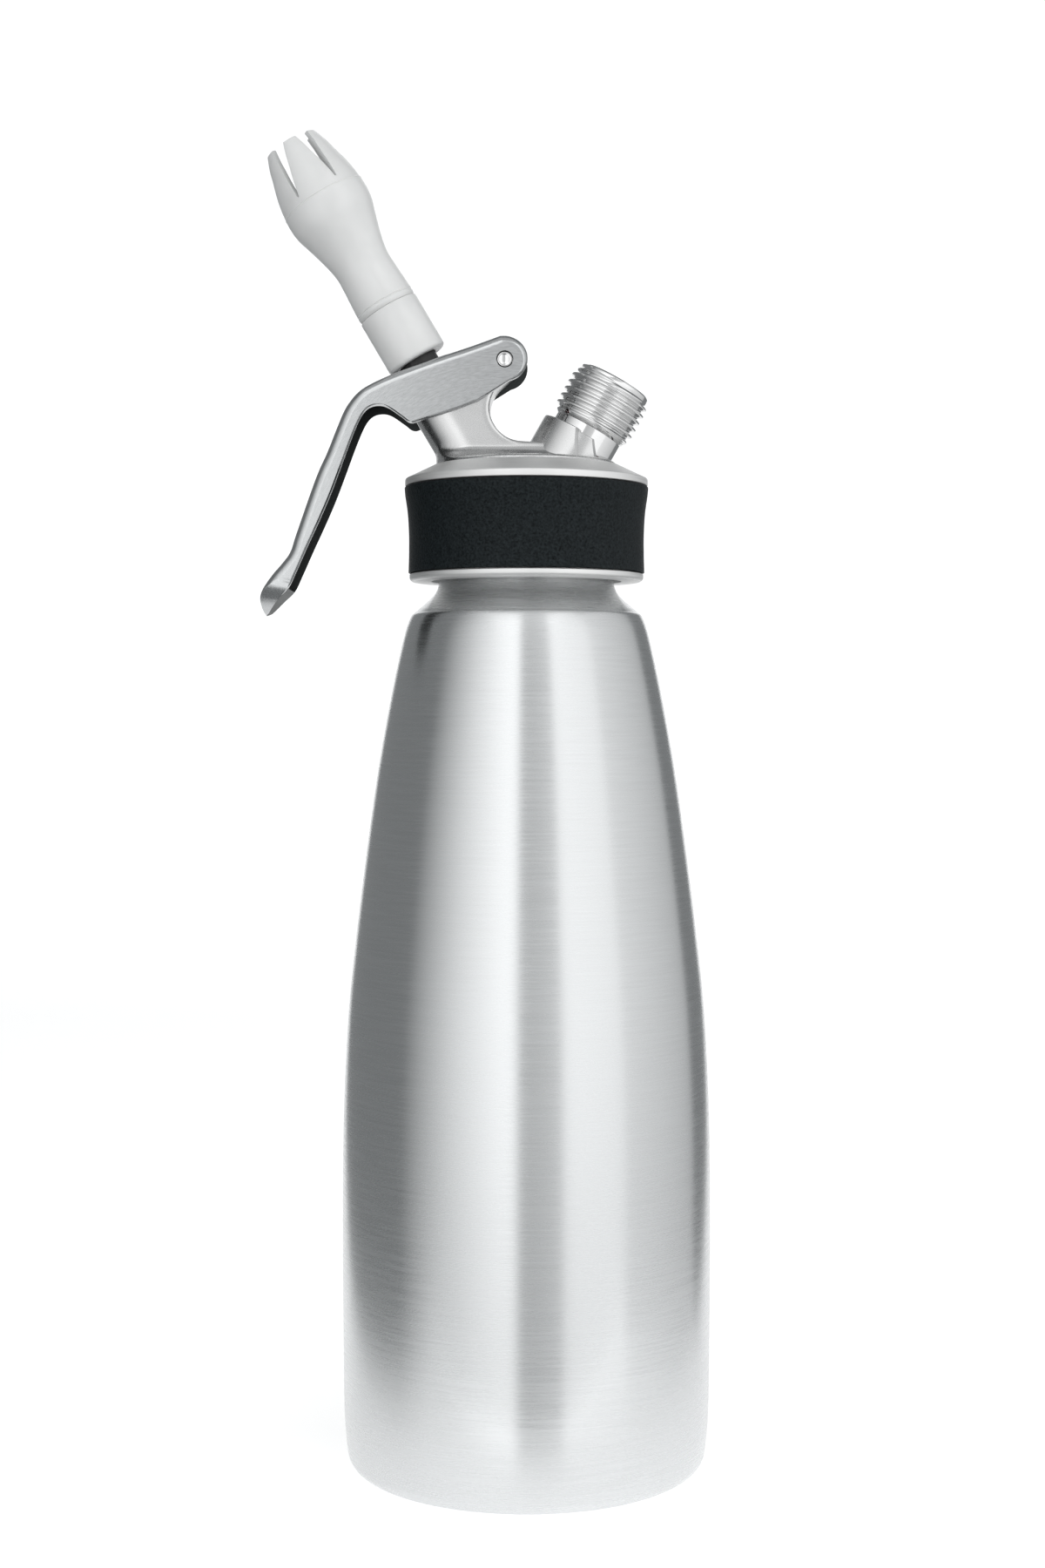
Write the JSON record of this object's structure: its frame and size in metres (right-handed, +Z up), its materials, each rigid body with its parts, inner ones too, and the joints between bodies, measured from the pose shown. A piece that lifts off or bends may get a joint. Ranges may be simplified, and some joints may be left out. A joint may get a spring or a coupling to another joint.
{
  "type": "whipped cream dispenser",
  "caption": "Stainless steel whipped cream dispenser: tapered pressure bottle, screwed head with lever valve, tulip nozzle tip, rubber grip band and threaded gas charger stud.",
  "frame": {"origin": "centre of the bottle's flat base, on the surface it stands on", "axes": "+Z up along the bottle's axis; -X towards the lever and the nozzle, +X towards the charger stud; Y along the lever's pin"},
  "size_m": [0.1151, 0.0944, 0.3427],
  "materials": {
    "brushed_steel": "fine circumferential brushing",
    "satin_steel": "satin, bright rounded edges",
    "polished_steel": "polished",
    "spring_steel": "drawn wire",
    "grip_silicone": "matte silicone with a fine grain",
    "frosted_plastic": "frosted, slightly translucent",
    "black_plastic": "satin",
    "seal_rubber": "moulded seal rubber"
  },
  "bodies": {
    "bottle": {"bottle_shell": "brushed_steel", "neck_collar": "satin_steel"},
    "gasket": {"head_gasket": "seal_rubber"},
    "head": {"cap_shell": "satin_steel", "grip_band": "grip_silicone", "head_casting": "satin_steel", "lever_pin": "polished_steel", "charger_stud": "polished_steel", "stud_seal": "seal_rubber", "charger_seal": "seal_rubber", "piercing_pin": "polished_steel", "check_disc": "seal_rubber", "gas_jet": "satin_steel", "guide_bush": "black_plastic", "valve_spring": "spring_steel"},
    "lever": {"lever": "satin_steel"},
    "valve": {"valve_stem": "polished_steel", "stem_o_ring": "seal_rubber", "valve_seal": "seal_rubber", "valve_nut": "satin_steel", "spring_retainer": "satin_steel", "stem_sleeve": "black_plastic", "adapter_collar": "frosted_plastic"},
    "insert": {"tip_insert": "satin_steel"},
    "tip": {"tulip_tip": "frosted_plastic"}
  },
  "joints": [
    {"name": "head_lift", "type": "slide", "parent": "bottle", "child": "gasket", "axis": [0, 0, 1], "range_m": [0, 0.01401]},
    {"name": "head_screw", "type": "hinge", "parent": "gasket", "child": "head", "pos_m": [0, 0, 0.2456], "axis": [0, 0, 1], "range_deg": [0, 1260]},
    {"name": "lever_pivot", "type": "hinge", "parent": "head", "child": "lever", "pos_m": [-0.0055, 0, 0.2825], "axis": [0, -1, 0], "range_deg": [0, 12], "stiffness_Nm_per_rad": 0.34, "springref_deg": -26.36},
    {"name": "valve_slide", "type": "slide", "parent": "head", "child": "valve", "axis": [0.5075, 0, -0.8616], "range_m": [0, 0.00275], "deforming": ["valve_spring"]},
    {"name": "tip_lift", "type": "slide", "parent": "valve", "child": "insert", "axis": [-0.5075, 0, 0.8616], "range_m": [0, 0.00451]},
    {"name": "tip_screw", "type": "hinge", "parent": "insert", "child": "tip", "pos_m": [-0.0358, 0, 0.29691], "axis": [-0.5075, 0, 0.8616], "range_deg": [0, 1080]}
  ],
  "couplings": [
    {"joint": "head_lift", "follows": "head_screw", "m_per_rad": 0.00063662},
    {"joint": "valve_slide", "follows": "lever_pivot", "m_per_rad": 0.013},
    {"joint": "tip_lift", "follows": "tip_screw", "m_per_rad": 0.00023873}
  ]
}
